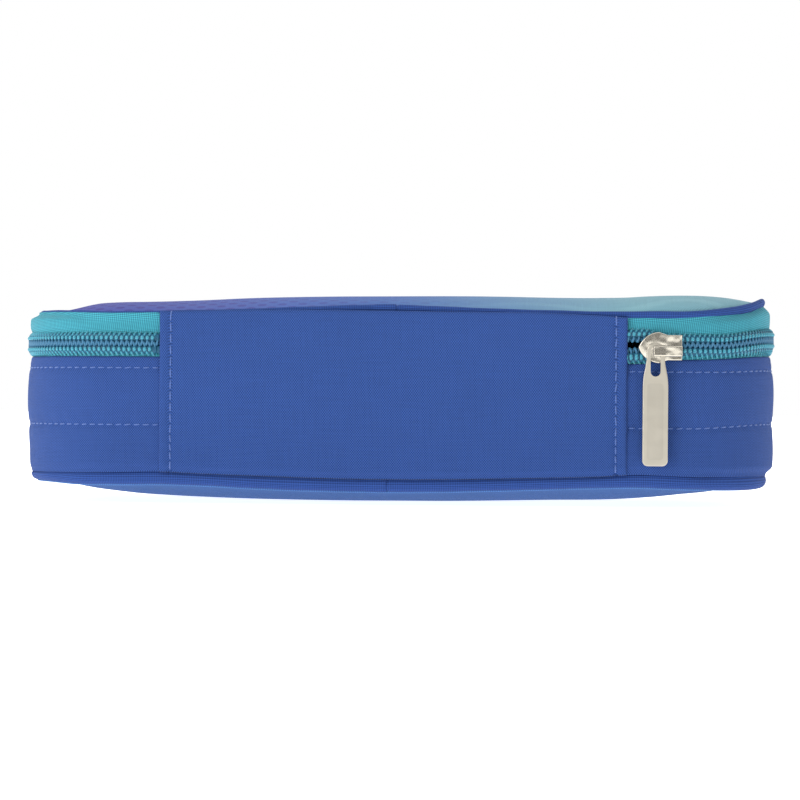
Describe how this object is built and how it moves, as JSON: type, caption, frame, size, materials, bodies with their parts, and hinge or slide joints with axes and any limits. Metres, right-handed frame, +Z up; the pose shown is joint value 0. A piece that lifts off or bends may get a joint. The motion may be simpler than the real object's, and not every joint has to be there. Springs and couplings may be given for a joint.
{
  "type": "zip-round pencil case",
  "caption": "Soft rounded box with a padded lid that a coil zip opens on three sides, for pencils and pens.",
  "frame": {"origin": "centre of the flat area that the case rests on", "axes": "+X along the case, towards the slider's end; -Y is the hinge side, where the lid stays joined; +Z up through the lid"},
  "size_m": [0.2094, 0.1012, 0.058],
  "materials": {
    "panel_blue": "plain-woven polyester, satin sheen",
    "wall_blue": "plain-woven polyester, satin sheen",
    "base_blue": "plain-woven polyester, satin sheen",
    "lid_print": "plain-woven polyester with a printed colour fade and oval dots",
    "piping_blue": "woven, cut on the bias",
    "cord_white": "twisted cotton cord",
    "tape_teal": "woven zip tape",
    "coil_teal": "nylon filament, satin",
    "thread_blue": "twisted polyester thread",
    "foam_grey": "soft padding with a fine open surface",
    "lining_grey": "thin plain-woven lining",
    "board_white": "stiffening sheet, matt",
    "binding_grey": "woven seam binding",
    "nickel": "satin nickel plate"
  },
  "bodies": {
    "base": {"base_panel": "base_blue", "base_foam": "foam_grey", "base_board": "board_white", "base_lining": "lining_grey", "base_piping_cover": "piping_blue", "base_piping_cord": "cord_white", "base_seam_binding": "binding_grey", "wall_fabric": "wall_blue", "wall_foam": "foam_grey", "wall_lining": "lining_grey", "hinge_panel": "panel_blue", "hinge_interlining": "foam_grey", "hinge_lining": "lining_grey", "thread_zip_row": "thread_blue", "thread_wall_row": "thread_blue", "thread_hinge_rows": "thread_blue", "zip_tape_lower": "tape_teal", "zip_coil_lower": "coil_teal"},
    "lid": {"lid_panel": "lid_print", "lid_foam": "foam_grey", "lid_lining": "lining_grey", "lid_piping_cover": "piping_blue", "lid_piping_cord": "cord_white", "lid_seam_binding": "binding_grey", "zip_tape_upper": "tape_teal", "zip_coil_upper": "coil_teal"},
    "slider": {"slider_body": "nickel", "slider_cap": "nickel", "slider_lock_spring": "nickel"},
    "pull": {"pull_tab": "nickel"}
  },
  "joints": [
    {"name": "lid_hinge", "type": "hinge", "parent": "base", "child": "lid", "pos_m": [0, -0.0467, 0.0532], "axis": [1, 0, 0], "range_deg": [0, 120], "deforming": ["zip_tape_upper", "zip_coil_upper"]},
    {"name": "slider_travel", "type": "hinge", "parent": "base", "child": "slider", "pos_m": [0.0735, -0.0175, 0.0434], "axis": [0, 0, 1], "range_deg": [0, 90], "deforming": ["zip_coil_lower"]},
    {"name": "pull_swing", "type": "hinge", "parent": "slider", "child": "pull", "pos_m": [0.0712, -0.0507, 0.0423], "axis": [0, 1, 0], "range_deg": [-47, 90]}
  ]
}
